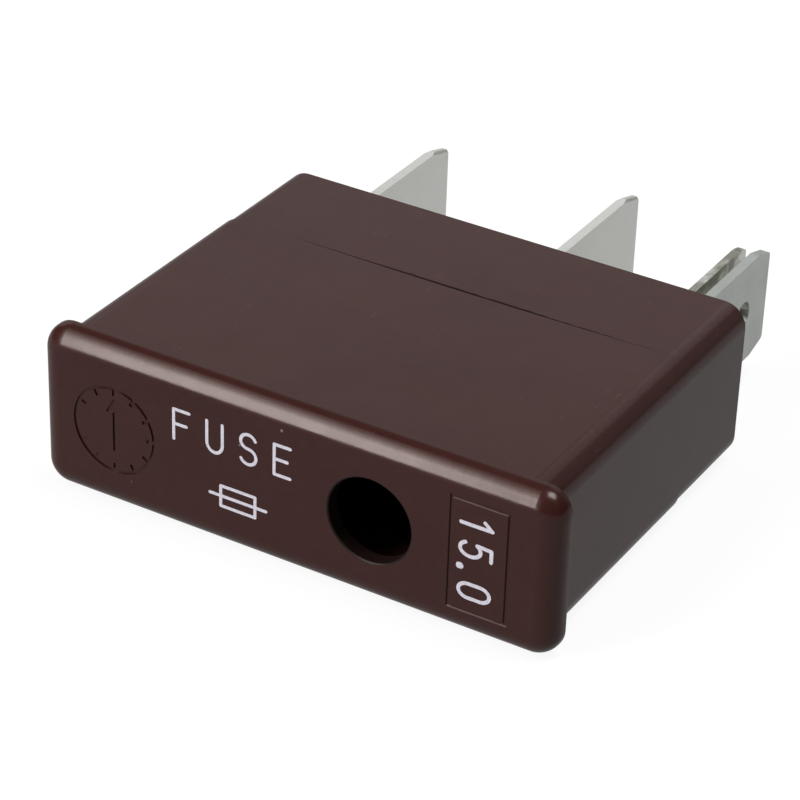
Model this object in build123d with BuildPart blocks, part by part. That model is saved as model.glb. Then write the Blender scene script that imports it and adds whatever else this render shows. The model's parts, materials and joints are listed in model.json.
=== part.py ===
from build123d import *
import math
import os

# Plug-in alarm fuse, lying on its wide side. Millimetres and degrees.
# Origin: centre of the rear face that seats on the fuse holder.
# X runs along the width, the marked front faces -Y, the blades point to +Y, Z is up.

# Front flange
face_width = 28.0
face_height = 8.7
face_thickness = 1.3
face_edge_radius = 1.05
face_corner_radius = 1.3
face_rear_radius = 0.05
overhang_side = 0.85
overhang_top = 0.06

# Housing body, in two mouldings that meet at a parting line
cover_depth = 12.9
base_depth = 6.25
body_edge_radius = 1.2
base_inset = 0.05
wall = 1.0
front_wall = 0.8
rear_wall = 3.0
spigot_length = 2.5
spigot_wall = 0.8
spigot_clearance = 0.05
bow_from_side = 2.0
bow_depth = 0.18

# Snap ribs that hold the two mouldings together
snap_length = 5.0
snap_width = 0.5
snap_height = 0.15
snap_from_end = 0.8
snap_spacing = 14.0

# Signal window and marks on the front
window_radius = 2.2
window_edge = 0.06
field_from_side = 3.93
field_width = 3.15
field_height = 6.05
field_line = 0.2
field_depth = 0.08
field_taper = 35.0
dial_from_side = 4.32
dial_radius = 2.35
dial_depth = 0.08
dial_line = 0.18
dial_ticks = 12
dial_tick_length = 0.5

# Power blades, the standard flat tab
tab_height = 6.35
tab_thickness = 0.5
tab_taper_length = 1.4
tab_taper_height = 0.4
tab_tip_radius = 0.25
tab_tip_bevel = 0.12
arm_height = 4.4
slot_clearance = 0.05
shoulder_depth = 1.8
line_from_side = 5.0
line_length = 9.1
load_from_alarm = 8.1
load_length = 10.0

# Alarm plug, a stiff blade with a thinner leaf beside it
alarm_from_side = 3.9
alarm_height = 5.8
alarm_length = 8.8
leaf_spacing = 1.15
alarm_leaf_thickness = 0.4
alarm_leaf_height = 5.3
alarm_leaf_length = 8.5
alarm_leaf_taper_length = 0.8
alarm_leaf_taper_height = 0.2
detent_radius = 0.8
detent_from_tip = 2.8

# Guide blocks that steady the terminals inside the base
guide_margin = 0.9
guide_depth = 1.2

# Held signal spring, which leans to -X until the element melts
spring_thickness = 0.25
spring_height = 3.6
spring_tip_height = 2.6
clamp_from_base = 1.85
clamp_length = 3.8
held_bend = 20.0
bend_radius = 14.3
spring_straight = 5.5
trip_angle = 30.0
rivet_radius = 0.5
rivet_head_radius = 0.9
rivet_head_height = 0.35
rivet_head_edge = 0.15
rivet_pitch = 1.85
fit_clearance = 0.02

# Contact pair of the alarm circuit
contact_radius = 1.0
contact_height = 0.6
contact_tail_radius = 0.8
contact_tail_height = 0.25
contact_edge = 0.15
fixed_contact_edge = 0.3
contact_from_bend = 1.6
contact_gap = 0.05
pad_before_contact = 1.6
pad_after_contact = 1.4
pad_arm_height = 3.4
knee_from_base = 1.75
arm_bend_radius = 1.0

# White signal flag on the spring's tip, curved about the spring's root
flag_thickness = 0.6
flag_span = 24.0
flag_height = 5.0
flag_tip_gap = 0.1
boss_width = 1.3
boss_height = 3.6
boss_grip = 0.9

# Fuse element, a tensioned wire between the line arm and the spring
wire_radius = 0.2
wire_from_bend = 3.9
wire_tail = 0.45
finger_height = 2.6
finger_length = 6.0
finger_end = 0.7
bead_radius = 0.6
bead_height = 0.65
bead_shoulder_radius = 0.42
bead_shoulder_height = 0.45


# Places worked out from the sizes above
body_width = face_width - 2 * overhang_side
body_height = face_height - 2 * overhang_top
parting_y = -base_depth
flange_y = parting_y - cover_depth
front_y = flange_y - face_thickness
cavity_width = body_width - 2 * wall
cavity_height = body_height - 2 * wall
cavity_radius = body_edge_radius - wall / 2
hollow_width = cavity_width - 2 * (spigot_clearance + spigot_wall)
hollow_height = cavity_height - 2 * (spigot_clearance + spigot_wall)
spigot_end_y = parting_y - spigot_length
snap_y = spigot_end_y + snap_from_end
guide_end_y = -rear_wall - guide_depth
line_x = line_from_side - face_width / 2
alarm_x = face_width / 2 - alarm_from_side
load_x = alarm_x - load_from_alarm
field_x = face_width / 2 - field_from_side
dial_x = dial_from_side - face_width / 2
leaf_x = alarm_x - leaf_spacing
tab_taper = (tab_taper_length, tab_taper_height)
detent_y = alarm_length - detent_from_tip
spring_x = load_x - tab_thickness / 2 - spring_thickness / 2
hinge = Vector(spring_x, parting_y - clamp_from_base)


def heading(angle):
    """Unit vector at an angle from -Y towards +X."""
    return Vector(math.sin(math.radians(angle)), -math.cos(math.radians(angle)))


def normal(angle):
    """Unit vector square to that heading, on its +X side."""
    return Vector(math.cos(math.radians(angle)), math.sin(math.radians(angle)))


def tripped(point):
    """Where a point of the spring's tip is once the spring has let go."""
    return hinge + (point - hinge).rotate(Axis.Z, trip_angle)


bend_end = hinge - Vector(bend_radius, 0) + normal(-held_bend) * bend_radius
spring_tip = bend_end + heading(-held_bend) * spring_straight
contact_place = bend_end + heading(-held_bend) * contact_from_bend
wire_place = bend_end + heading(-held_bend) * wire_from_bend
wire_face = wire_place - normal(-held_bend) * spring_thickness / 2
contact_face = contact_place + normal(-held_bend) * (spring_thickness / 2 + contact_height)
closed_angle = trip_angle - held_bend
fixed_seat = tripped(contact_face) + normal(closed_angle) * (contact_gap + contact_height)
pad_line = fixed_seat + normal(closed_angle) * tab_thickness / 2
pad_start = pad_line - heading(closed_angle) * pad_before_contact
pad_end = pad_line + heading(closed_angle) * pad_after_contact
tip_radius = (spring_tip - hinge).length
tip_angle = -math.degrees(math.asin((hinge.X - spring_tip.X) / tip_radius))
flag_radius = tip_radius + flag_tip_gap
flag_shown = hinge + heading(tip_angle + trip_angle) * (flag_radius + flag_thickness / 2)
window_x = flag_shown.X


def across(y):
    """Plane square to the depth of the housing, its normal towards the front."""
    return Plane.XZ.offset(-y)


def rounded_block(y, width, height, radius, depth):
    """Block of rounded section that runs from y towards the front."""
    with BuildSketch(across(y)) as section:
        RectangleRounded(width, height, radius)
    extrude(section.sketch, amount=depth)


def hollow(y, width, height, radius, depth):
    """Space of rounded section that runs from y towards the front."""
    with BuildSketch(across(y)) as section:
        RectangleRounded(width, height, radius)
    extrude(section.sketch, amount=depth, mode=Mode.SUBTRACT)


def snap_ribs(height, mode):
    """Four low ribs on the wide sides of the spigot, or the grooves for them."""
    with BuildSketch(Plane.XY.offset(-height)) as ribs:
        with Locations((0, snap_y)):
            with GridLocations(snap_spacing, 1, 2, 1):
                Rectangle(snap_length, snap_width)
    extrude(ribs.sketch, amount=2 * height, mode=mode)


def side_outline(half, y_low, y_high, x_low, x_high, mode):
    """Strip outline seen from the side, symmetric about the middle height."""
    with BuildSketch(Plane.YZ.offset(x_low)) as outline:
        with BuildLine():
            Polyline([(y_low, 0), *half, (y_high, 0)])
            mirror(about=Plane.XZ)
        make_face()
        fillet(vertices().group_by(Axis.X)[-1], tab_tip_radius)
    extrude(outline.sketch, amount=x_high - x_low, mode=mode)


def tab_half(length, height, taper, end_y, end_height):
    """Upper half of a blade's outline, from its inner end to its tip."""
    return [
        (end_y, end_height / 2),
        (-shoulder_depth, end_height / 2),
        (-shoulder_depth, height / 2),
        (length - taper[0], height / 2),
        (length, height / 2 - taper[1]),
    ]


def hole_across(y, radius, x, depth):
    """Round hole along X through a strip whose middle lies at x."""
    with BuildSketch(Plane.YZ.offset(x - depth)) as hole:
        with Locations((y, 0)):
            Circle(radius)
    extrude(hole.sketch, amount=2 * depth, mode=Mode.SUBTRACT)


def export(piece, name):
    piece.part.label = name
    export_step(piece.part, f"parts/{name}.step")


os.makedirs("parts", exist_ok=True)

# Cover, with the front flange, the window and the moulded marks
with BuildPart() as cover:
    rounded_block(parting_y, body_width, body_height, body_edge_radius, cover_depth)
    rounded_block(flange_y, face_width, face_height, face_corner_radius, face_thickness)
    fillet(faces().sort_by(Axis.Y)[0].edges(), face_edge_radius)
    flange_back = faces().filter_by(Plane.XZ).filter_by_position(Axis.Y, flange_y, flange_y)[0]
    fillet(flange_back.outer_wire().edges(), face_rear_radius)
    depth = cover_depth + face_thickness - front_wall
    hollow(parting_y, cavity_width, cavity_height, cavity_radius, depth)
    snap_ribs(cavity_height / 2 + snap_height, Mode.SUBTRACT)
    bow_half = face_width / 2 - bow_from_side
    with BuildSketch(Plane.XY.offset(-body_height / 2)):
        with BuildLine():
            ThreePointArc((-bow_half, parting_y), (0, parting_y - bow_depth), (bow_half, parting_y))
            Line((bow_half, parting_y), (-bow_half, parting_y))
        make_face()
    extrude(amount=body_height, mode=Mode.SUBTRACT)
    with BuildSketch(across(front_y)):
        with Locations((window_x, 0)):
            Circle(window_radius)
    extrude(amount=-front_wall, mode=Mode.SUBTRACT)
    rim = edges().filter_by(GeomType.CIRCLE).filter_by_position(Axis.Y, front_y, front_y)
    chamfer(rim, window_edge)
    with BuildSketch(across(front_y)):
        with Locations((field_x, 0)):
            Rectangle(field_width, field_height)
            Rectangle(field_width - 2 * field_line, field_height - 2 * field_line, mode=Mode.SUBTRACT)
    extrude(amount=-field_depth, taper=field_taper, mode=Mode.SUBTRACT)
    with BuildSketch(across(front_y)):
        with Locations((dial_x, 0)):
            Circle(dial_radius)
            Circle(dial_radius - dial_line, mode=Mode.SUBTRACT)
            with PolarLocations(dial_radius - dial_tick_length / 2, dial_ticks):
                Rectangle(dial_tick_length, dial_line)
            Rectangle(dial_line, dial_radius)
            with Locations((0, dial_radius / 2)):
                RegularPolygon(3 * dial_line, 3, rotation=90)
    extrude(amount=-dial_depth, mode=Mode.SUBTRACT)
export(cover, "cover")

# Base, with its spigot, the stepped slots and the guide blocks
with BuildPart() as base:
    width = body_width - 2 * base_inset
    height = body_height - 2 * base_inset
    rounded_block(0, width, height, body_edge_radius, base_depth)
    width = cavity_width - 2 * spigot_clearance
    height = cavity_height - 2 * spigot_clearance
    rounded_block(parting_y, width, height, cavity_radius, spigot_length)
    snap_ribs(cavity_height / 2 + snap_height - spigot_clearance, Mode.ADD)
    depth = base_depth - rear_wall + spigot_length
    hollow(-rear_wall, hollow_width, hollow_height, cavity_radius, depth)
    slots = [
        (line_x, tab_thickness, tab_height),
        (load_x, tab_thickness, tab_height),
        (alarm_x, tab_thickness, alarm_height),
        (leaf_x, alarm_leaf_thickness, alarm_leaf_height),
    ]
    for slot_x, thickness, _ in slots:
        with BuildSketch(across(-rear_wall)):
            with Locations((slot_x, 0)):
                Rectangle(thickness + 2 * guide_margin, hollow_height)
        extrude(amount=guide_depth)
    for slot_x, thickness, height in slots:
        with BuildSketch(across(0)):
            with Locations((slot_x, 0)):
                Rectangle(thickness + 2 * slot_clearance, height + 2 * slot_clearance)
        extrude(amount=shoulder_depth, mode=Mode.SUBTRACT)
        with BuildSketch(across(0)):
            with Locations((slot_x, 0)):
                Rectangle(thickness + 2 * slot_clearance, arm_height + 2 * slot_clearance)
        extrude(amount=-guide_end_y, mode=Mode.SUBTRACT)
export(base, "base")

# Line terminal: power blade with an arm and a finger that holds the element
finger_y = wire_face.Y - finger_end
with BuildPart() as line_terminal:
    low = line_x - tab_thickness / 2
    half = [
        (finger_y, finger_height / 2),
        (finger_y + finger_length, finger_height / 2),
        (finger_y + finger_length, arm_height / 2),
        *tab_half(line_length, tab_height, tab_taper, finger_y, arm_height)[1:],
    ]
    side_outline(half, finger_y, line_length, low, low + tab_thickness, Mode.ADD)
    chamfer(faces().sort_by(Axis.Y)[-1].edges().filter_by(Axis.Z), tab_tip_bevel)
    hole_across(wire_face.Y, wire_radius + fit_clearance, line_x, tab_thickness)
export(line_terminal, "line_terminal")

# Load terminal: power blade with the arm that carries the spring
rivets_y = [hinge.Y + clamp_length / 2 + side * rivet_pitch / 2 for side in (1, -1)]
with BuildPart() as load_terminal:
    low = load_x - tab_thickness / 2
    half = tab_half(load_length, tab_height, tab_taper, hinge.Y, arm_height)
    side_outline(half, hinge.Y, load_length, low, low + tab_thickness, Mode.ADD)
    chamfer(faces().sort_by(Axis.Y)[-1].edges().filter_by(Axis.Z), tab_tip_bevel)
    for rivet_y in rivets_y:
        hole_across(rivet_y, rivet_radius + fit_clearance, load_x, tab_thickness)
export(load_terminal, "load_terminal")

# Alarm terminal: stiff blade of the plug, bent inside to face the spring
knee_y = parting_y - knee_from_base
lap_y = (guide_end_y + knee_y) / 2 - rivet_head_radius / 2
with BuildPart() as alarm_terminal:
    with BuildLine() as route:
        ends = [(alarm_x, alarm_length), (alarm_x, knee_y), pad_start, pad_end]
        FilletPolyline(ends, radius=arm_bend_radius)
    with BuildSketch(Plane((alarm_x, alarm_length, 0), x_dir=(1, 0, 0), z_dir=(0, -1, 0))):
        Rectangle(tab_thickness, alarm_height)
    sweep()
    narrow_y = pad_start.Y + arm_bend_radius
    half = [
        (pad_end.Y - tab_thickness, pad_arm_height / 2),
        (narrow_y, pad_arm_height / 2),
        (narrow_y + arm_bend_radius, arm_height / 2),
        *tab_half(alarm_length, alarm_height, tab_taper, narrow_y, arm_height)[1:],
    ]
    side_outline(half, half[0][0], alarm_length, 0, face_width / 2, Mode.INTERSECT)
    hole_across(detent_y, detent_radius, alarm_x, tab_thickness)
    hole_across(lap_y, rivet_radius + fit_clearance, alarm_x, tab_thickness)
    with BuildSketch(Plane(tuple(pad_line), z_dir=tuple(normal(closed_angle)))):
        Circle(rivet_radius + fit_clearance)
    extrude(amount=tab_thickness, both=True, mode=Mode.SUBTRACT)
export(alarm_terminal, "alarm_terminal")

# Alarm leaf: thinner leaf of the plug, joggled over to lap on the terminal
lap_x = alarm_x - tab_thickness / 2 - alarm_leaf_thickness / 2
lap_low_y = lap_y - rivet_head_radius
lap_high_y = lap_y + rivet_head_radius + alarm_leaf_thickness
with BuildPart() as alarm_leaf:
    with BuildLine():
        ends = [
            (leaf_x, alarm_leaf_length),
            (leaf_x, guide_end_y - alarm_leaf_thickness / 2),
            (lap_x, lap_high_y),
            (lap_x, lap_low_y),
        ]
        FilletPolyline(ends, radius=alarm_leaf_thickness)
    plane = Plane((leaf_x, alarm_leaf_length, 0), x_dir=(1, 0, 0), z_dir=(0, -1, 0))
    with BuildSketch(plane):
        Rectangle(alarm_leaf_thickness, alarm_leaf_height)
    sweep()
    taper = (alarm_leaf_taper_length, alarm_leaf_taper_height)
    half = tab_half(alarm_leaf_length, alarm_leaf_height, taper, lap_low_y, arm_height)
    side_outline(half, lap_low_y, alarm_leaf_length, 0, face_width / 2, Mode.INTERSECT)
    hole_across(detent_y, detent_radius, leaf_x, alarm_leaf_thickness)
    hole_across(lap_y, rivet_radius + fit_clearance, lap_x, alarm_leaf_thickness)
export(alarm_leaf, "alarm_leaf")


def rivet(name, seat, axis, grip, tail):
    """Rivet with its head on the seat and its tail at the far side of the grip."""
    with BuildPart(Plane(seat, z_dir=axis)) as piece:
        Cylinder(rivet_radius, grip, align=(Align.CENTER, Align.CENTER, Align.MAX))
        Cylinder(rivet_head_radius, tail, align=(Align.CENTER, Align.CENTER, Align.MIN))
        with Locations((0, 0, -grip)):
            Cylinder(rivet_head_radius, tail, align=(Align.CENTER, Align.CENTER, Align.MAX))
        ends = faces().sort_by(Axis(seat, axis))
        chamfer([*ends[0].edges(), *ends[-1].edges()], rivet_head_edge)
    export(piece, name)


# Rivets: two clamp the spring to its terminal, one joins the alarm leaf
spring_grip = tab_thickness + spring_thickness
for name, rivet_y in zip(("spring_rivet_rear", "spring_rivet_front"), rivets_y):
    seat = (load_x + tab_thickness / 2, rivet_y, 0)
    rivet(name, seat, (1, 0, 0), spring_grip, rivet_head_height)
seat = (alarm_x + tab_thickness / 2, lap_y, 0)
rivet("alarm_rivet", seat, (1, 0, 0), tab_thickness + alarm_leaf_thickness, rivet_head_height)

# Signal spring: flat strip clamped at its root and held over by the element
root_y = hinge.Y + clamp_length
with BuildPart() as signal_spring:
    with BuildLine():
        Line((spring_x, root_y), tuple(hinge))
        JernArc(tuple(hinge), (0, -1), bend_radius, -held_bend)
        Line(tuple(bend_end), tuple(spring_tip))
    with BuildSketch(Plane((spring_x, root_y, 0), x_dir=(1, 0, 0), z_dir=(0, -1, 0))):
        Rectangle(spring_thickness, spring_height)
    sweep()
    half = [
        (spring_tip.Y - spring_thickness, spring_tip_height / 2),
        (bend_end.Y, spring_tip_height / 2),
        (hinge.Y, spring_height / 2),
        (root_y, spring_height / 2),
    ]
    with BuildSketch(Plane.YZ.offset(-face_width / 2)):
        with BuildLine():
            Polyline([(half[0][0], 0), *half, (root_y, 0)])
            mirror(about=Plane.XZ)
        make_face()
    extrude(amount=face_width, mode=Mode.INTERSECT)
    for rivet_y in rivets_y:
        hole_across(rivet_y, rivet_radius + fit_clearance, spring_x, spring_thickness)
    with BuildSketch(Plane(tuple(contact_place), z_dir=tuple(normal(-held_bend)))):
        Circle(rivet_radius + fit_clearance)
    extrude(amount=spring_thickness, both=True, mode=Mode.SUBTRACT)
export(signal_spring, "signal_spring")


def contact(name, seat, facing, grip, edge):
    """Contact rivet: silver head on the seat, shank through the strip and a tail."""
    with BuildPart(Plane(seat, z_dir=facing)) as piece:
        Cylinder(contact_radius, contact_height, align=(Align.CENTER, Align.CENTER, Align.MIN))
        chamfer(faces().sort_by(Axis(seat, facing))[-1].edges(), edge)
        Cylinder(rivet_radius, grip, align=(Align.CENTER, Align.CENTER, Align.MAX))
        with Locations((0, 0, -grip)):
            height = contact_tail_height
            Cylinder(contact_tail_radius, height, align=(Align.CENTER, Align.CENTER, Align.MAX))
        chamfer(faces().sort_by(Axis(seat, facing))[0].edges(), contact_tail_height / 2)
    export(piece, name)


# Contacts: one on the spring, one on the alarm terminal's arm
side = normal(-held_bend)
seat = contact_place + side * spring_thickness / 2
contact("moving_contact", tuple(seat), tuple(side), spring_thickness, contact_edge)
side = normal(closed_angle)
contact("fixed_contact", tuple(fixed_seat), tuple(-side), tab_thickness, fixed_contact_edge)

# Signal flag: curved white plate with a boss that grips the spring's tip
with BuildPart() as signal_flag:
    start = tip_angle - flag_span / 2 - 90
    with BuildSketch(Plane.XY.offset(-flag_height / 2)):
        with BuildLine():
            inner = CenterArc(tuple(hinge), flag_radius, start, flag_span)
            outer = CenterArc(tuple(hinge), flag_radius + flag_thickness, start, flag_span)
            Line(inner @ 0, outer @ 0)
            Line(inner @ 1, outer @ 1)
        make_face()
    extrude(amount=flag_height)
    corners = edges().filter_by(GeomType.LINE)
    corners = [edge for edge in corners if abs(edge.length - flag_thickness) < fit_clearance]
    fillet(corners, flag_thickness)
    grip = boss_grip + flag_tip_gap + flag_thickness / 2
    middle = spring_tip + heading(-held_bend) * (grip / 2 - boss_grip)
    with BuildSketch(Plane.XY.offset(-boss_height / 2)):
        with Locations(tuple(middle)):
            Rectangle(boss_width, grip, rotation=-held_bend)
    extrude(amount=boss_height)
    slot_width = spring_thickness + 2 * fit_clearance
    slot_height = spring_tip_height + 2 * fit_clearance
    middle = spring_tip + heading(-held_bend) * (fit_clearance - boss_grip) / 2
    with BuildSketch(Plane.XY.offset(-slot_height / 2)):
        with Locations(tuple(middle)):
            Rectangle(slot_width, boss_grip + fit_clearance, rotation=-held_bend)
    extrude(amount=slot_height, mode=Mode.SUBTRACT)
export(signal_flag, "signal_flag")

# Fuse element: straight wire from the line arm's finger to the spring
tail_x = line_x - tab_thickness / 2 - wire_tail
spring_side = Plane(tuple(wire_face), z_dir=tuple(-normal(-held_bend)))
with BuildPart() as fuse_element:
    with BuildSketch(Plane.YZ.offset(tail_x)):
        with Locations((wire_face.Y, 0)):
            Circle(wire_radius)
    extrude(amount=wire_face.X + wire_radius - tail_x)
    split(bisect_by=spring_side, keep=Keep.TOP)
export(fuse_element, "fuse_element")


def solder(name, seat, away):
    """Solder bead that stands on a strip's face, with the wire inside it."""
    profile = Plane(seat, x_dir=away, z_dir=(0, 0, 1))
    with BuildPart() as bead:
        with BuildSketch(profile):
            with BuildLine():
                shoulder = (bead_shoulder_height, bead_shoulder_radius)
                Polyline((0, 0), (bead_height, 0), shoulder, (0, bead_radius), close=True)
            make_face()
        revolve(axis=Axis(seat, away))
        add(fuse_element.part, mode=Mode.SUBTRACT)
    export(bead, name)


# Solder beads at both ends of the element
solder("line_solder", (line_x - tab_thickness / 2, wire_face.Y, 0), (-1, 0, 0))
solder("spring_solder", tuple(wire_face), tuple(-normal(-held_bend)))
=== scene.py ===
import json
import math

import bmesh
import bpy
from mathutils import Matrix, Vector


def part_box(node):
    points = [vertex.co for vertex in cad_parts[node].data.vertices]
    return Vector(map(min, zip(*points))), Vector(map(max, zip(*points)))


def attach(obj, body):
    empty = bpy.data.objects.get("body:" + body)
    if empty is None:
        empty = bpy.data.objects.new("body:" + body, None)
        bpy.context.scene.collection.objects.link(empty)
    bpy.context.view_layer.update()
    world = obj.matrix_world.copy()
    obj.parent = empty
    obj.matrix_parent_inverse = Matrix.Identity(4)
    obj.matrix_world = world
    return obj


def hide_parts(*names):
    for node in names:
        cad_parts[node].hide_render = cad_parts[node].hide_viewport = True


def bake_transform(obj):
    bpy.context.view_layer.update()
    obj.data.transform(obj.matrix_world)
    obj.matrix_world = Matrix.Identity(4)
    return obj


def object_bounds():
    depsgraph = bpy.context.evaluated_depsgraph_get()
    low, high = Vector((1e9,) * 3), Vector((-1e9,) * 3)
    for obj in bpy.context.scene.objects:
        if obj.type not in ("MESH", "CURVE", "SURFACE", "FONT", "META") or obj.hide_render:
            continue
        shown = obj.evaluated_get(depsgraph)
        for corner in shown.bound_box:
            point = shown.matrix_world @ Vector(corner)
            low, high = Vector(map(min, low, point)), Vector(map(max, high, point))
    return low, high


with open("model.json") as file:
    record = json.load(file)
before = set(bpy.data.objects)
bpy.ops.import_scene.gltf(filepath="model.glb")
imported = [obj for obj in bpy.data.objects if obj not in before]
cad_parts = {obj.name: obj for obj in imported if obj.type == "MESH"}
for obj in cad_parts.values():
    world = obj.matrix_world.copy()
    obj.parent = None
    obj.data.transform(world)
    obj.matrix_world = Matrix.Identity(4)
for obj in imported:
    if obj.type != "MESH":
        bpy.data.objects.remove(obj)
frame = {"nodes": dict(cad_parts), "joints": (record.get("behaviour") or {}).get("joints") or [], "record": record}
cad_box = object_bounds()

# Plug-in alarm fuse, lying on its wide side. The frame holds its sixteen pieces.
# This script finishes their surfaces, prints the front, and lights and frames the picture.
MM = 0.001

# Camera, matched to the corners of the case and the blades in the photograph, and placed from the
# middle of the flange's back
CAMERA_AZIMUTH = 30.037
CAMERA_ELEVATION = 31.198
CAMERA_ROLL = 1.96
CAMERA_DISTANCE = 141.671 * MM
CAMERA_SIDE = 4.491 * MM
CAMERA_RISE = 3.65 * MM
CAMERA_LENS = 138.437
CAMERA_SENSOR = 36.0
CAMERA_CLIP_END = 10.0
FLANGE_BACK = Vector((0, -19.15 * MM, 0))

# Light: a softbox bowed over the front left in strips, a small lamp above, four dim panels behind
# and the plain world. Lengths are in metres and angles in degrees. Each strip has its lowest and
# highest angle about the width of the fuse and its share of the radiance. Each panel has its
# azimuth, elevation, width, height and share of the radiance.
SOFTBOX_STRIPS = ((4, 52, 1.0), (52, 63, 0.66), (63, 77, 0.36), (77, 94, 0.13))
SOFTBOX_LEAN = -0.462
SOFTBOX_WIDTH = 0.186
SOFTBOX_DISTANCE = 0.7
SOFTBOX_RADIANCE = 13.6
SOFTBOX_COLOUR = (1.0, 0.965, 0.95)
TOP_LAMP_SIZE = 0.28
TOP_LAMP_DISTANCE = 0.6
TOP_LAMP_AZIMUTH = 118.0
TOP_LAMP_ELEVATION = 74.0
TOP_LAMP_RADIANCE = 9.4
PANELS = ((-150.0, 29.0, 1.0, 0.24, 1.0), (-150.0, 9.5, 1.0, 0.25, 0.45),
          (178.0, 34.0, 0.36, 0.36, 1.0), (148.0, 20.0, 0.28, 0.42, 0.42))
PANEL_DISTANCE = 0.7
PANEL_RADIANCE = 0.53
WORLD_LIGHT = 0.22
WORLD_GLOSS = 0.06
FLOOR_SIZE = 1.6
FLOOR_COLOUR = 0.4
FLOOR_GLOSS = 0.445
FLOOR_WHITE_SHARE = 0.9

# Printed marks on the front
INK_THICKNESS = 0.012 * MM
INK_SUNK = 0.02 * MM
WORD_STROKE = 0.165 * MM
WORD_HEIGHT = 1.6 * MM
WORD_GLYPH_WIDTH = 0.86 * MM
WORD_PITCH = 1.85 * MM
WORD_START = Vector((-6.27 * MM, 0.74 * MM))
SYMBOL_HEIGHT = 1.1 * MM
SYMBOL_BODY = 1.9 * MM
SYMBOL_LEAD = 0.6 * MM
SYMBOL_CENTRE = Vector((-2.7 * MM, -1.5 * MM))
RATING_STROKE = 0.19 * MM
RATING_HEIGHT = 1.6 * MM
RATING_GLYPH_WIDTH = 0.76 * MM
RATING_POINT = 0.34 * MM
RATING_FOOT = 9.13 * MM
RATING_PLACES = {"1": 1.8 * MM, "5": 0.42 * MM, "0": -1.8 * MM}
RATING_POINT_PLACE = -0.59 * MM

# Painted shade on the seam of the two mouldings: its greatest half width, how far it wanders, and
# along the width of the fuse its middle, its reach to each side and the length over which it fades
SEAM_HALF = 0.075 * MM
SEAM_WANDER = 0.05 * MM
SEAM_MIDDLE = 4.0 * MM
SEAM_REACH = 8.3 * MM
SEAM_FADE = 3.4 * MM

# Painted shade in the window's bore: how far it reaches out round the bore's edge and in
# from the front
BORE_SHADE_RIM = 0.1 * MM
BORE_SHADE_DEPTH = 1.4 * MM

# Rubbed edges: rays that smooth the normal over an edge, and how well it then agrees with the true
# one on flat ground and where an edge counts in full
EDGE_RAYS = 4
EDGE_FLAT = 0.99
EDGE_FULL = 0.8

# Leaf spring: how many pieces its free length is cut into, the distance under which two corners
# count as one, and the angle from which an edge stays sharp
SPRING_DIVISIONS = 24
SPRING_WELD = 0.0001 * MM
SPRING_SHARP = math.radians(40)

# Colours of the surfaces, as linear red, green, blue and alpha
BROWN = (0.0338, 0.0100, 0.0082, 1)
BROWN_FLOW = (0.0297, 0.0088, 0.0073, 1)
BROWN_MOTTLE = (0.041, 0.0125, 0.0098, 1)
BROWN_RUBBED = (0.07, 0.036, 0.030, 1)
BROWN_GLOSS = (0.97, 0.88, 0.85, 1)
DUST = (0.30, 0.25, 0.22, 1)
SCRATCH = (0.20, 0.15, 0.13, 1)
# Painted shade along the seam
SEAM_SHADE = (0.006, 0.003, 0.003, 1)
# Painted shade in the window's bore
BORE_SHADE = (0.004, 0.0015, 0.0013, 1)
TIN_DARK = (0.94, 0.96, 0.90, 1)
TIN_LIGHT = (0.98, 0.99, 0.95, 1)
TIN_SPOT = (0.62, 0.61, 0.56, 1)
ALARM_TIN_DARK = (0.62, 0.65, 0.62, 1)
ALARM_TIN_LIGHT = (0.72, 0.75, 0.72, 1)
# Dark patches on the alarm leaf: partly stain, partly painted reflection
LEAF_STAIN_AND_REFLECTION = (0.42, 0.41, 0.34, 1)
LEAF_BRIGHT = (0.90, 0.90, 0.85, 1)
COPPER = (0.78, 0.53, 0.30, 1)
COPPER_TARNISH = (0.60, 0.35, 0.19, 1)
BRASS = (0.82, 0.62, 0.33, 1)
BRASS_DARK = (0.70, 0.50, 0.25, 1)
SILVER = (0.93, 0.92, 0.88, 1)
SILVER_TARNISH = (0.72, 0.66, 0.55, 1)
WIRE_LIGHT = (0.86, 0.85, 0.81, 1)
WIRE_DARK = (0.70, 0.69, 0.64, 1)
SOLDER_BRIGHT = (0.74, 0.75, 0.76, 1)
SOLDER_FROSTED = (0.52, 0.53, 0.54, 1)
FLAG_LIGHT = (0.84, 0.84, 0.81, 1)
FLAG_DARK = (0.78, 0.77, 0.73, 1)
INK_FULL = (0.64, 0.63, 0.70, 1)
INK_THIN = (0.50, 0.49, 0.57, 1)

# Optics of the plastic, and how much of a blade's and of the alarm blade's face is bare metal
BROWN_IOR = 1.42
TIN_METALLIC = 0.85
ALARM_TIN_METALLIC = 0.95


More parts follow.
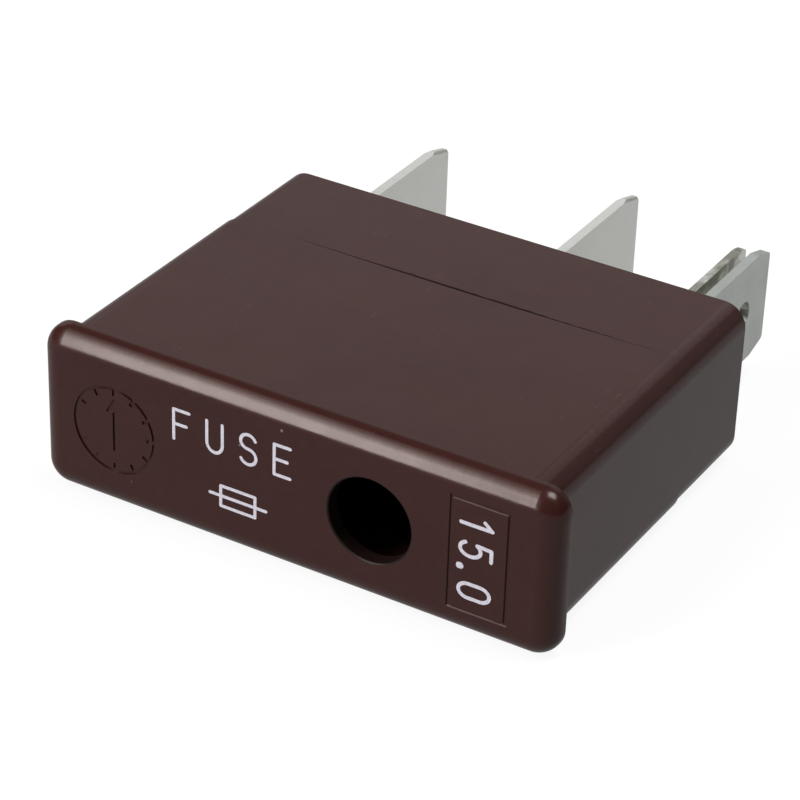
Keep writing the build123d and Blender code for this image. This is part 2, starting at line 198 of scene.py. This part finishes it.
class Surface:
    """One material and short ways to add and join its shader nodes."""

    def __init__(self, name, metallic=0.0):
        self.material = bpy.data.materials.new(name)
        self.material.use_nodes = True
        self.nodes = self.material.node_tree.nodes
        self.links = self.material.node_tree.links
        self.shader = self.nodes["Principled BSDF"]
        self.shader.inputs["Metallic"].default_value = metallic
        self.place = self.nodes.new("ShaderNodeTexCoord").outputs["Object"]

    def put(self, value, socket):
        """Sets a socket to a number or colour, or joins it to another node's output."""
        if isinstance(value, bpy.types.NodeSocket):
            self.links.new(value, socket)
        else:
            socket.default_value = value

    def stretched(self, x, y, z):
        """The place on the piece, divided by a length in millimetres along each axis."""
        node = self.nodes.new("ShaderNodeMapping")
        node.vector_type = "POINT"
        self.links.new(self.place, node.inputs["Vector"])
        node.inputs["Scale"].default_value = (1 / (x * MM), 1 / (y * MM), 1 / (z * MM))
        return node.outputs["Vector"]

    def noise(self, size, detail=2.0, roughness=0.5, distortion=0.0):
        """Noise from 0 to 1 with features of a size in millimetres, one number or one per axis."""
        sizes = size if isinstance(size, tuple) else (size, size, size)
        node = self.nodes.new("ShaderNodeTexNoise")
        self.links.new(self.stretched(*sizes), node.inputs["Vector"])
        node.inputs["Scale"].default_value = 1.0
        node.inputs["Detail"].default_value = detail
        node.inputs["Roughness"].default_value = roughness
        node.inputs["Distortion"].default_value = distortion
        return node.outputs["Fac"]

    def cells(self, size):
        """Distance to the nearest of points a size in millimetres apart, and the point's colour."""
        node = self.nodes.new("ShaderNodeTexVoronoi")
        node.feature = "F1"
        self.links.new(self.stretched(size, size, size), node.inputs["Vector"])
        node.inputs["Scale"].default_value = 1.0
        return node.outputs["Distance"], node.outputs["Color"]

    def along(self, axis):
        """The place on the piece along one axis, in metres."""
        node = self.nodes.new("ShaderNodeSeparateXYZ")
        self.links.new(self.place, node.inputs[0])
        return node.outputs[axis]

    def around(self, centre):
        """Distance from a line through a point along the depth of the fuse, in metres."""
        aside = self.combined("SUBTRACT", self.along("X"), centre.x)
        above = self.combined("SUBTRACT", self.along("Z"), centre.z)
        aside_squared = self.combined("MULTIPLY", aside, aside)
        above_squared = self.combined("MULTIPLY", above, above)
        return self.combined("SQRT", self.combined("ADD", aside_squared, above_squared), 0.0)

    def apart(self, value, middle):
        """How far a value is from another, with no sign."""
        return self.combined("ABSOLUTE", self.combined("SUBTRACT", value, middle), 0.0)

    def ranged(self, value, low, high, to_low=0.0, to_high=1.0):
        """Maps a value between two limits to between two others, and holds it there."""
        node = self.nodes.new("ShaderNodeMapRange")
        self.put(value, node.inputs["Value"])
        node.inputs["From Min"].default_value = low
        node.inputs["From Max"].default_value = high
        node.inputs["To Min"].default_value = to_low
        node.inputs["To Max"].default_value = to_high
        return node.outputs["Result"]

    def combined(self, operation, first, second):
        """Arithmetic on two values."""
        node = self.nodes.new("ShaderNodeMath")
        node.operation = operation
        self.put(first, node.inputs[0])
        self.put(second, node.inputs[1])
        return node.outputs[0]

    def mixed(self, share, first, second):
        """Colour between two colours."""
        node = self.nodes.new("ShaderNodeMix")
        node.data_type = "RGBA"
        self.put(share, node.inputs["Factor"])
        self.put(first, node.inputs["A"])
        self.put(second, node.inputs["B"])
        return node.outputs["Result"]

    def covered(self, colour, cover, mask, strength):
        """Colour with another over it where a mask is 1, up to a strength."""
        return self.mixed(self.combined("MULTIPLY", mask, strength), colour, cover)

    def raised(self, value, mask, rise):
        """Value that is higher by a rise where a mask is 1."""
        return self.combined("ADD", value, self.combined("MULTIPLY", mask, rise))

    def bump(self, height, depth, after=None):
        """Normal that a height field of a depth in millimetres gives."""
        node = self.nodes.new("ShaderNodeBump")
        node.inputs["Distance"].default_value = depth * MM
        self.links.new(height, node.inputs["Height"])
        if after:
            self.links.new(after, node.inputs["Normal"])
        return node.outputs["Normal"]

    def worn_edges(self, radius):
        """0 on flat ground and up to 1 on an edge, worked out over a radius in millimetres."""
        rounded = self.nodes.new("ShaderNodeBevel")
        rounded.samples = EDGE_RAYS
        rounded.inputs["Radius"].default_value = radius * MM
        ground = self.nodes.new("ShaderNodeNewGeometry")
        dot = self.nodes.new("ShaderNodeVectorMath")
        dot.operation = "DOT_PRODUCT"
        self.links.new(rounded.outputs["Normal"], dot.inputs[0])
        self.links.new(ground.outputs["Normal"], dot.inputs[1])
        return self.ranged(dot.outputs["Value"], EDGE_FLAT, EDGE_FULL)

    def finish(self, colour, roughness, normal):
        """Joins a colour, a roughness and a normal to the shader, and gives the material."""
        self.links.new(colour, self.shader.inputs["Base Color"])
        self.links.new(roughness, self.shader.inputs["Roughness"])
        self.links.new(normal, self.shader.inputs["Normal"])
        return self.material


def painted_seam_shade(surface):
    """Mask of the painted shade along the seam: thin, wandering, and fading out towards both ends."""
    half = surface.ranged(surface.noise(0.5), 0.3, 0.7, SEAM_HALF / 2, SEAM_HALF)
    wander = surface.ranged(surface.noise(0.9), 0.3, 0.7, -SEAM_WANDER, SEAM_WANDER)
    seam_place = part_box("cover")[1].y
    away = surface.apart(surface.combined("ADD", surface.along("Y"), wander), seam_place)
    line = surface.ranged(surface.combined("DIVIDE", away, half), 1.3, 0.7)
    aside = surface.apart(surface.along("X"), SEAM_MIDDLE)
    near = surface.ranged(aside, SEAM_REACH, SEAM_REACH - SEAM_FADE)
    return surface.combined("MULTIPLY", line, near)


def painted_bore_shade(surface):
    """Mask of the painted shade in the window's bore and on its edge."""
    window = next(m for m in frame["record"]["mounts"] if m["name"] == "window")
    rim = window["dims"]["r_mm"] * MM + BORE_SHADE_RIM
    bore = surface.ranged(surface.around(Vector(window["pos_m"])), rim, rim - BORE_SHADE_RIM / 4)
    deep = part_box("cover")[0].y + BORE_SHADE_DEPTH
    front = surface.ranged(surface.along("Y"), deep + BORE_SHADE_RIM, deep)
    return surface.combined("MULTIPLY", bore, front)


def brown_moulding():
    """Glossy dark brown plastic: flow marks, orange peel, scratches, dust, worn edges, painted shade."""
    surface = Surface("brown_moulding")
    surface.shader.inputs["IOR"].default_value = BROWN_IOR
    surface.shader.inputs["Specular Tint"].default_value = BROWN_GLOSS
    flow = surface.noise((9, 5, 5), detail=3, distortion=0.6)
    mottle = surface.ranged(surface.noise(0.5, detail=3), 0.35, 0.75, 0, 0.35)
    edges = surface.worn_edges(0.09)
    distance, scatter = surface.cells(1.7)
    chosen = surface.ranged(scatter, 0.80, 0.86)
    specks = surface.combined("MULTIPLY", surface.ranged(distance, 0.055, 0.030), chosen)
    seam = painted_seam_shade(surface)
    bore_shade = painted_bore_shade(surface)
    fine = surface.noise((0.03, 1.6, 0.03), distortion=0.4)
    where = surface.noise((1.1, 2.4, 1.1), detail=1)
    scratches = surface.combined("MULTIPLY", surface.ranged(fine, 0.70, 0.74),
                                 surface.ranged(where, 0.60, 0.66))
    colour = surface.mixed(surface.ranged(flow, 0.3, 0.7), BROWN, BROWN_FLOW)
    colour = surface.mixed(mottle, colour, BROWN_MOTTLE)
    colour = surface.covered(colour, BROWN_RUBBED, edges, 0.15)
    colour = surface.covered(colour, DUST, specks, 0.55)
    # Painted shade: a dark line along the seam
    colour = surface.covered(colour, SEAM_SHADE, seam, 0.85)
    # Painted shade: near black in the window's bore
    colour = surface.covered(colour, BORE_SHADE, bore_shade, 0.8)
    colour = surface.covered(colour, SCRATCH, scratches, 0.5)
    rubbed = surface.noise(2.6, detail=5, roughness=0.65)
    roughness = surface.ranged(rubbed, 0.3, 0.75, 0.19, 0.27)
    roughness = surface.raised(roughness, scratches, 0.12)
    roughness = surface.raised(roughness, specks, 0.4)
    roughness = surface.raised(roughness, seam, 0.7)
    roughness = surface.raised(roughness, bore_shade, 0.3)
    peel = surface.bump(surface.noise(0.42), depth=0.004)
    normal = surface.bump(surface.combined("SUBTRACT", specks, seam), depth=0.006, after=peel)
    return surface.finish(colour, roughness, normal)


def tinned_blade(name, dark, light, metallic):
    """Dull tin plate on rolled brass: grain along the blade, soft stains and smoother edges."""
    surface = Surface(name, metallic)
    stains = surface.noise(2.2, detail=4, roughness=0.6)
    spots = surface.ranged(surface.noise(0.28), 0.66, 0.74)
    colour = surface.mixed(surface.ranged(stains, 0.3, 0.7), dark, light)
    colour = surface.covered(colour, TIN_SPOT, spots, 0.25)
    grain = surface.noise((0.05, 4.0, 0.05), detail=3)
    roughness = surface.ranged(grain, 0.3, 0.7, 0.28, 0.40)
    roughness = surface.raised(roughness, surface.worn_edges(0.07), -0.15)
    normal = surface.bump(grain, depth=0.0025)
    normal = surface.bump(surface.noise(1.4), depth=0.006, after=normal)
    return surface.finish(colour, roughness, normal)


def bright_leaf():
    """Alarm plug's thin leaf: brighter plating, shallow waves, stains and painted reflection."""
    surface = Surface("bright_leaf", metallic=1.0)
    stains = surface.noise((1.0, 1.7, 1.0), detail=3, roughness=0.55)
    # Dark patches: partly stains, partly painted dark reflection
    colour = surface.mixed(surface.ranged(stains, 0.42, 0.58), LEAF_STAIN_AND_REFLECTION, LEAF_BRIGHT)
    grain = surface.noise((0.05, 3.0, 0.05), detail=3)
    roughness = surface.ranged(grain, 0.3, 0.7, 0.1, 0.22)
    normal = surface.bump(surface.noise(0.8), depth=0.05)
    normal = surface.bump(grain, depth=0.0015, after=normal)
    return surface.finish(colour, roughness, normal)


def spring_metal():
    """Rolled copper alloy strip with a light tarnish."""
    surface = Surface("spring_metal", metallic=1.0)
    tarnish = surface.noise(1.6, detail=5, roughness=0.6)
    colour = surface.mixed(surface.ranged(tarnish, 0.35, 0.7), COPPER, COPPER_TARNISH)
    grain = surface.noise((0.04, 3.0, 0.04), detail=3)
    roughness = surface.ranged(grain, 0.3, 0.7, 0.2, 0.36)
    return surface.finish(colour, roughness, surface.bump(grain, depth=0.002))


def rivet_metal():
    """Upset brass rivet with hammered heads."""
    surface = Surface("rivet_metal", metallic=1.0)
    dents, shade = surface.cells(0.35)
    colour = surface.mixed(surface.ranged(shade, 0.2, 0.8), BRASS, BRASS_DARK)
    roughness = surface.ranged(surface.noise(0.2, detail=3), 0.3, 0.7, 0.24, 0.4)
    return surface.finish(colour, roughness, surface.bump(dents, depth=0.01))


def silver_contact():
    """Silver contact with fine pits and a touch of tarnish."""
    surface = Surface("silver_contact", metallic=1.0)
    tarnish = surface.noise(0.6, detail=4)
    colour = surface.mixed(surface.ranged(tarnish, 0.4, 0.75), SILVER, SILVER_TARNISH)
    pits = surface.noise(0.09, detail=3)
    roughness = surface.ranged(pits, 0.3, 0.7, 0.18, 0.34)
    return surface.finish(colour, roughness, surface.bump(pits, depth=0.004))


def element_wire():
    """Drawn silvered wire with die lines along it."""
    surface = Surface("element_wire", metallic=1.0)
    lines = surface.noise((2.5, 0.03, 0.03))
    colour = surface.mixed(surface.ranged(lines, 0.3, 0.7), WIRE_LIGHT, WIRE_DARK)
    roughness = surface.ranged(lines, 0.3, 0.7, 0.15, 0.3)
    return surface.finish(colour, roughness, surface.bump(lines, depth=0.003))


def solder_bead():
    """Reflowed soft solder: bright, faintly frosted, with a few pits."""
    surface = Surface("solder", metallic=1.0)
    frost = surface.noise(0.22, detail=4)
    colour = surface.mixed(surface.ranged(frost, 0.35, 0.7), SOLDER_BRIGHT, SOLDER_FROSTED)
    roughness = surface.ranged(frost, 0.3, 0.7, 0.16, 0.42)
    return surface.finish(colour, roughness, surface.bump(frost, depth=0.012))


def white_flag():
    """Matt white moulding with a fine spark-eroded grain."""
    surface = Surface("white_flag")
    shade = surface.noise(1.5, detail=3)
    colour = surface.mixed(surface.ranged(shade, 0.3, 0.7), FLAG_LIGHT, FLAG_DARK)
    grain = surface.noise(0.07, detail=3)
    roughness = surface.ranged(grain, 0.3, 0.7, 0.48, 0.66)
    return surface.finish(colour, roughness, surface.bump(grain, depth=0.006))


def white_ink():
    """Pad-printed ink, slightly uneven in cover."""
    surface = Surface("white_ink")
    cover = surface.noise(0.16, detail=3, roughness=0.6)
    colour = surface.mixed(surface.ranged(cover, 0.35, 0.72), INK_FULL, INK_THIN)
    roughness = surface.ranged(cover, 0.3, 0.7, 0.38, 0.55)
    return surface.finish(colour, roughness, surface.bump(cover, depth=0.003))


def dress_nodes():
    """Gives each piece of the frame the finish of its material slot."""
    finishes = {
        "brown_moulding": brown_moulding(),
        "tinned_blade": tinned_blade("tinned_blade", TIN_DARK, TIN_LIGHT, TIN_METALLIC),
        "spring_metal": spring_metal(),
        "rivet_metal": rivet_metal(),
        "silver_contact": silver_contact(),
        "element_wire": element_wire(),
        "solder": solder_bead(),
        "white_flag": white_flag(),
    }
    for part in frame["record"]["subparts"]:
        frame["nodes"][part["node"]].data.materials[0] = finishes[part["material_slot"]]
    # The alarm terminal gets a darker copy of the blade finish
    alarm_tin = tinned_blade("alarm_blade", ALARM_TIN_DARK, ALARM_TIN_LIGHT, ALARM_TIN_METALLIC)
    frame["nodes"]["alarm_terminal"].data.materials[0] = alarm_tin
    frame["nodes"]["alarm_leaf"].data.materials[0] = bright_leaf()


def bending_spring():
    """The leaf spring as a new piece, cut fine along its free length; the frame's spring is hidden."""
    work = bmesh.new()
    work.from_mesh(frame["nodes"]["signal_spring"].data)
    bmesh.ops.remove_doubles(work, verts=work.verts, dist=SPRING_WELD)
    hinge = Vector(frame["joints"][0]["pos_m"])
    contact_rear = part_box("moving_contact")[1].y
    for step in range(SPRING_DIVISIONS + 1):
        y = hinge.y + (contact_rear - hinge.y) * step / SPRING_DIVISIONS
        parts = [*work.verts, *work.edges, *work.faces]
        bmesh.ops.bisect_plane(work, geom=parts, plane_co=(0, y, 0), plane_no=(0, 1, 0))
    mesh = bpy.data.meshes.new("leaf_spring")
    work.to_mesh(mesh)
    work.free()
    mesh.shade_smooth()
    mesh.set_sharp_from_angle(angle=SPRING_SHARP)
    mesh.materials.append(frame["nodes"]["signal_spring"].data.materials[0])
    piece = bpy.data.objects.new("leaf_spring", mesh)
    bpy.context.scene.collection.objects.link(piece)
    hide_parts("signal_spring")
    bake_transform(piece)


def arc(centre, radius, start, end, steps=10):
    """Points of an elliptical arc, its radius a pair and its angles in degrees."""
    angles = [math.radians(start + (end - start) * i / steps) for i in range(steps + 1)]
    return [(centre[0] + radius[0] * math.cos(a), centre[1] + radius[1] * math.sin(a))
            for a in angles]


# Each glyph is a list of strokes on a cell 1 wide and 1 high. A stroke that ends where it began
# is a ring.
GLYPHS = {
    "F": [[(0, 0), (0, 1)], [(0, 1), (1, 1)], [(0, 0.52), (0.82, 0.52)]],
    "U": [[(0, 1), *arc((0.5, 0.3), (0.5, 0.3), 180, 360), (1, 1)]],
    "S": [[*arc((0.5, 0.76), (0.48, 0.24), 20, 270, 14),
           *arc((0.5, 0.26), (0.5, 0.26), 90, -155, 14)[1:]]],
    "E": [[(0, 0), (0, 1)], [(0, 1), (1, 1)], [(0, 0.52), (0.82, 0.52)], [(0, 0), (1, 0)]],
    "1": [[(0.14, 0.76), (0.58, 1)], [(0.58, 1), (0.58, 0)]],
    "5": [[(0.9, 1), (0.14, 1)], [(0.14, 1), (0.08, 0.56)],
          arc((0.48, 0.33), (0.5, 0.33), 140, -150, 18)],
    "0": [[*arc((0.5, 0.7), (0.5, 0.3), 0, 180),
           *arc((0.5, 0.3), (0.5, 0.3), 180, 360), (1, 0.7)]],
}

# Points on each half of a stroke's round end
CAP_STEPS = 6


def round_cap(end, side, out):
    """Pairs of points of the half circle past the end of a pen stroke, from the stroke outwards."""
    turns = [math.pi / 2 * (i + 1) / (CAP_STEPS + 1) for i in range(CAP_STEPS)]
    return [(end + out * math.sin(t) + side * math.cos(t),
             end + out * math.sin(t) - side * math.cos(t)) for t in turns]


def stroke_rows(points, width):
    """Pairs of points across a pen stroke, from end to end, with round ends unless it is a ring."""
    half = width / 2
    path = [Vector(p) for p in points]
    ring = (path[0] - path[-1]).length < width / 100
    runs = [(b - a).normalized() for a, b in zip(path, path[1:])]
    rows = []
    for i, p in enumerate(path):
        before = runs[i - 1] if i or ring else runs[0]
        after = runs[i % len(runs)] if i < len(runs) or ring else runs[-1]
        along = (before + after).normalized()
        side = Vector((-along.y, along.x)) * half / along.dot(after)
        rows.append((p + side, p - side))
    if ring:
        return rows[:-1], True
    first = round_cap(path[0], rows[0][0] - path[0], -runs[0] * half)
    last = round_cap(path[-1], rows[-1][0] - path[-1], runs[-1] * half)
    return first[::-1] + rows + last, False


def stroke_solid(points, width, to_front, name):
    """Thin closed solid of one pen stroke, its back just inside the front face."""
    rows, ring = stroke_rows(points, width)
    work = bmesh.new()
    heights = (-INK_SUNK, INK_THICKNESS)
    corners = [[work.verts.new(to_front(p, proud)) for p in row for proud in heights]
               for row in rows]
    for i in range(len(rows) if ring else len(rows) - 1):
        here = corners[i]
        there = corners[(i + 1) % len(rows)]
        for a, b in ((0, 1), (1, 3), (3, 2), (2, 0)):
            work.faces.new((here[a], here[b], there[b], there[a]))
    if not ring:
        for end in (corners[0], corners[-1]):
            work.faces.new((end[0], end[1], end[3], end[2]))
    bmesh.ops.recalc_face_normals(work, faces=work.faces)
    mesh = bpy.data.meshes.new(name)
    work.to_mesh(mesh)
    work.free()
    piece = bpy.data.objects.new(name, mesh)
    bpy.context.scene.collection.objects.link(piece)
    return piece


def printed(name, strokes, width, ink):
    """One printed mark: its pen strokes, joined to one closed solid, riding on the housing."""
    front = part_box("cover")[0].y

    def to_front(point, proud):
        return Vector((point[0], front - proud, point[1]))

    solids = [stroke_solid(points, width, to_front, f"{name}_{i}")
              for i, points in enumerate(strokes)]
    piece = solids[0]
    for other in solids[1:]:
        union = piece.modifiers.new("union", "BOOLEAN")
        union.operation = "UNION"
        union.solver = "EXACT"
        union.object = other
    bpy.context.view_layer.update()
    graph = bpy.context.evaluated_depsgraph_get()
    mesh = bpy.data.meshes.new_from_object(piece.evaluated_get(graph))
    for solid in solids:
        bpy.data.objects.remove(solid)
    mesh.materials.clear()
    mesh.materials.append(ink)
    piece = bpy.data.objects.new(name, mesh)
    bpy.context.scene.collection.objects.link(piece)
    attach(piece, "housing")


def print_front():
    """A plain word, the general sign for a fuse and a plain rating number."""
    ink = white_ink()
    for i, letter in enumerate("FUSE"):
        corner = WORD_START + Vector((i * WORD_PITCH, 0))
        strokes = [
            [(corner.x + x * WORD_GLYPH_WIDTH, corner.y + y * WORD_HEIGHT) for x, y in s]
            for s in GLYPHS[letter]
        ]
        printed(f"print_word_{i + 1}", strokes, WORD_STROKE, ink)
    x, z = SYMBOL_CENTRE
    half, rise = SYMBOL_BODY / 2, SYMBOL_HEIGHT / 2
    corners = [(x - half, z - rise), (x + half, z - rise),
               (x + half, z + rise), (x - half, z + rise)]
    sides = [[corners[i], corners[(i + 1) % 4]] for i in range(4)]
    line = [[(x - half - SYMBOL_LEAD, z), (x + half + SYMBOL_LEAD, z)]]
    printed("print_symbol", sides + line, WORD_STROKE, ink)
    for i, (glyph, middle) in enumerate(RATING_PLACES.items()):
        left = middle + RATING_GLYPH_WIDTH / 2
        strokes = [
            [(RATING_FOOT + y * RATING_HEIGHT, left - x * RATING_GLYPH_WIDTH) for x, y in s]
            for s in GLYPHS[glyph]
        ]
        printed(f"print_rating_{i + 1}", strokes, RATING_STROKE, ink)
    dot = [(RATING_FOOT, RATING_POINT_PLACE), (RATING_FOOT + RATING_STROKE / 4, RATING_POINT_PLACE)]
    printed("print_rating_point", [dot], RATING_POINT, ink)


def for_rays(tree, kind, chosen, others):
    """Shader that is one node's for a kind of ray and another node's for all others."""
    ray = tree.nodes.new("ShaderNodeLightPath")
    mix = tree.nodes.new("ShaderNodeMixShader")
    tree.links.new(ray.outputs[kind], mix.inputs["Fac"])
    tree.links.new(others.outputs[0], mix.inputs[1])
    tree.links.new(chosen.outputs[0], mix.inputs[2])
    return mix


def studio_floor():
    """Floor under the case: white and softly shadowed to the camera, grey to light and gloss."""
    bottom = cad_box[0].z
    half = FLOOR_SIZE / 2
    corners = [(-half, -half, bottom), (half, -half, bottom),
               (half, half, bottom), (-half, half, bottom)]
    mesh = bpy.data.meshes.new("floor")
    mesh.from_pydata(corners, [], [(0, 1, 2, 3)])
    floor = bpy.data.objects.new("floor", mesh)
    bpy.context.scene.collection.objects.link(floor)
    material = bpy.data.materials.new("floor")
    material.use_nodes = True
    tree = material.node_tree
    tree.nodes.clear()
    pale = tree.nodes.new("ShaderNodeBsdfDiffuse")
    pale.inputs["Color"].default_value = (FLOOR_COLOUR, FLOOR_COLOUR, FLOOR_COLOUR, 1)
    gloss = tree.nodes.new("ShaderNodeEmission")
    gloss.inputs["Strength"].default_value = FLOOR_GLOSS
    shadowed = tree.nodes.new("ShaderNodeBsdfDiffuse")
    shadowed.inputs["Color"].default_value = (1, 1, 1, 1)
    white = tree.nodes.new("ShaderNodeEmission")
    seen = tree.nodes.new("ShaderNodeMixShader")
    seen.inputs["Fac"].default_value = FLOOR_WHITE_SHARE
    tree.links.new(shadowed.outputs[0], seen.inputs[1])
    tree.links.new(white.outputs[0], seen.inputs[2])
    unseen = for_rays(tree, "Is Glossy Ray", gloss, pale)
    shown = for_rays(tree, "Is Camera Ray", seen, unseen)
    output = tree.nodes.new("ShaderNodeOutputMaterial")
    tree.links.new(shown.outputs[0], output.inputs["Surface"])
    mesh.materials.append(material)


def studio_world():
    """Plain world: white to the camera, with a level of its own for light and for gloss."""
    world = bpy.data.worlds.new("studio")
    bpy.context.scene.world = world
    world.use_nodes = True
    tree = world.node_tree
    tree.nodes.clear()
    light = tree.nodes.new("ShaderNodeBackground")
    light.inputs["Strength"].default_value = WORLD_LIGHT
    gloss = tree.nodes.new("ShaderNodeBackground")
    gloss.inputs["Strength"].default_value = WORLD_GLOSS
    white = tree.nodes.new("ShaderNodeBackground")
    unseen = for_rays(tree, "Is Glossy Ray", gloss, light)
    shown = for_rays(tree, "Is Camera Ray", white, unseen)
    output = tree.nodes.new("ShaderNodeOutputWorld")
    tree.links.new(shown.outputs[0], output.inputs["Surface"])


def direction(azimuth, elevation):
    """Unit vector to a place that azimuth 0 puts in front of the fuse, as for the camera."""
    a = math.radians(azimuth)
    e = math.radians(elevation)
    return Vector((math.sin(a) * math.cos(e), -math.cos(a) * math.cos(e), math.sin(e)))


def level(azimuth):
    """Unit vector to the right, as seen looking at the fuse from an azimuth."""
    return Vector((math.cos(math.radians(azimuth)), math.sin(math.radians(azimuth)), 0))


def lamp(name, away, across, distance, width, height, radiance, colour=(1, 1, 1)):
    """Rectangular lamp of a radiance, at a distance from the middle of the fuse, which it faces."""
    light = bpy.data.lights.new(name, "AREA")
    light.shape = "RECTANGLE"
    light.size = width
    light.size_y = height
    light.energy = radiance * math.pi * width * height
    light.color = colour
    lamp_object = bpy.data.objects.new(name, light)
    axes = Matrix((across, away.cross(across), away)).transposed()
    place = (cad_box[0] + cad_box[1]) / 2 + away * distance
    lamp_object.matrix_world = Matrix.Translation(place) @ axes.to_4x4()
    bpy.context.scene.collection.objects.link(lamp_object)


def studio_lamps():
    """The softbox in strips, the small lamp above and the dim panels."""
    girth = math.sqrt(1 - SOFTBOX_LEAN ** 2)
    for i, (low, high, share) in enumerate(SOFTBOX_STRIPS):
        middle = math.radians((low + high) / 2)
        away = Vector((SOFTBOX_LEAN, -girth * math.cos(middle), girth * math.sin(middle)))
        across = (Vector((1, 0, 0)) - away * away.x).normalized()
        height = 2 * SOFTBOX_DISTANCE * girth * math.tan(math.radians(high - low) / 2)
        lamp(f"softbox_{i + 1}", away, across, SOFTBOX_DISTANCE, SOFTBOX_WIDTH, height,
             SOFTBOX_RADIANCE * share, SOFTBOX_COLOUR)
    lamp("top_lamp", direction(TOP_LAMP_AZIMUTH, TOP_LAMP_ELEVATION), level(TOP_LAMP_AZIMUTH),
         TOP_LAMP_DISTANCE, TOP_LAMP_SIZE, TOP_LAMP_SIZE, TOP_LAMP_RADIANCE)
    for i, (azimuth, elevation, width, height, share) in enumerate(PANELS):
        lamp(f"panel_{i + 1}", direction(azimuth, elevation), level(azimuth),
             PANEL_DISTANCE, width, height, PANEL_RADIANCE * share)


def photo_camera():
    """Camera at the photograph's angle, distance and lens."""
    back = direction(CAMERA_AZIMUTH, CAMERA_ELEVATION)
    flat = level(CAMERA_AZIMUTH)
    up = back.cross(flat)
    roll = math.radians(CAMERA_ROLL)
    right = flat * math.cos(roll) + up * math.sin(roll)
    above = up * math.cos(roll) - flat * math.sin(roll)
    place = FLANGE_BACK + back * CAMERA_DISTANCE + right * CAMERA_SIDE + above * CAMERA_RISE
    data = bpy.data.cameras.new("camera")
    data.lens = CAMERA_LENS
    data.sensor_width = CAMERA_SENSOR
    data.clip_start = CAMERA_DISTANCE / 10
    data.clip_end = CAMERA_CLIP_END
    camera = bpy.data.objects.new("camera", data)
    axes = Matrix((right, above, back)).transposed()
    camera.matrix_world = Matrix.Translation(place) @ axes.to_4x4()
    bpy.context.scene.collection.objects.link(camera)
    bpy.context.scene.camera = camera


dress_nodes()
bending_spring()
print_front()
studio_floor()
studio_world()
studio_lamps()
photo_camera()
bpy.context.scene.view_settings.view_transform = "Standard"
